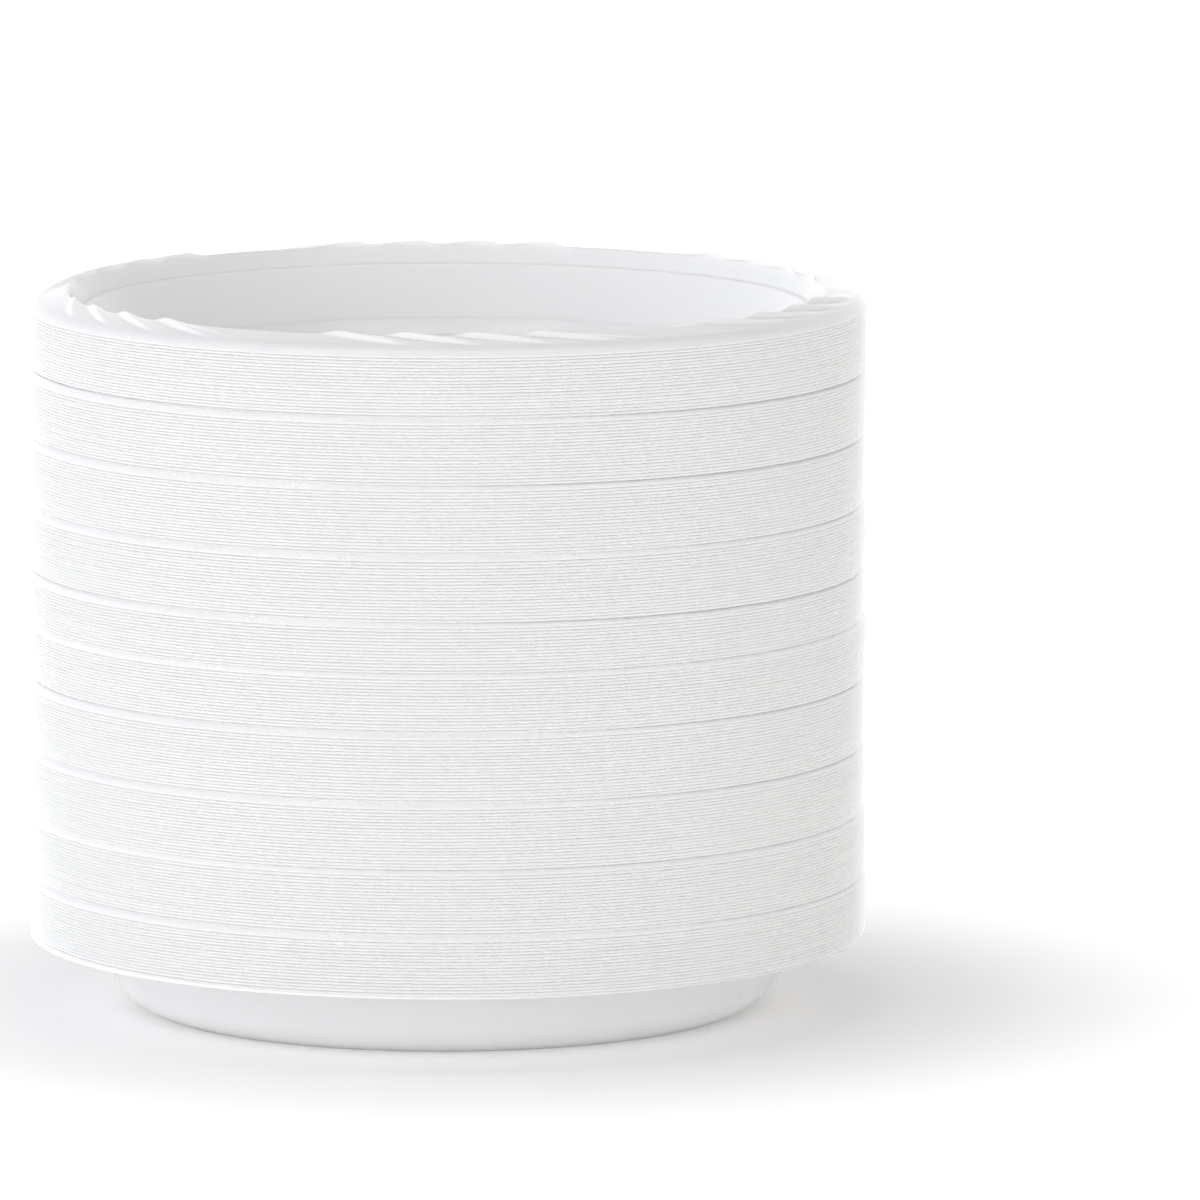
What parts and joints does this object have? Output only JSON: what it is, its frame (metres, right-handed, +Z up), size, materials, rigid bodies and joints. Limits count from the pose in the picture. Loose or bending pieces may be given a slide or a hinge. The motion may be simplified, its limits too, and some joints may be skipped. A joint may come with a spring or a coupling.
{
  "type": "stack of plastic bowls",
  "caption": "Stack of thin round moulded plastic bowls nested in sleeves, with rolled lips, ribbed rims and a shallow open bowl on top.",
  "frame": {"origin": "on the surface the stack stands on, under the middle of the bottom bowl", "axes": "+Z up along the axis of the bowls, which is the shortest side of the stack"},
  "size_m": [0.1791, 0.1786, 0.1533],
  "materials": {
    "bowl_plastic": "satin gloss white"
  },
  "bodies": {
    "root": {"bottom_bowl": "bowl_plastic", "sleeve_01_bowls": "bowl_plastic", "sleeve_02_bowls": "bowl_plastic", "sleeve_03_bowls": "bowl_plastic", "sleeve_04_bowls": "bowl_plastic", "sleeve_05_bowls": "bowl_plastic", "sleeve_06_bowls": "bowl_plastic", "sleeve_07_bowls": "bowl_plastic", "sleeve_08_bowls": "bowl_plastic", "sleeve_09_bowls": "bowl_plastic", "sleeve_10_bowls": "bowl_plastic", "sleeve_09_upper_bowls": "bowl_plastic", "sleeve_01_top_bowl": "bowl_plastic", "sleeve_02_top_bowl": "bowl_plastic", "sleeve_03_top_bowl": "bowl_plastic", "sleeve_04_top_bowl": "bowl_plastic", "sleeve_05_top_bowl": "bowl_plastic", "sleeve_06_top_bowl": "bowl_plastic", "sleeve_07_top_bowl": "bowl_plastic", "sleeve_08_top_bowl": "bowl_plastic", "sleeve_09_top_bowl": "bowl_plastic", "top_bowl": "bowl_plastic"}
  },
  "joints": []
}
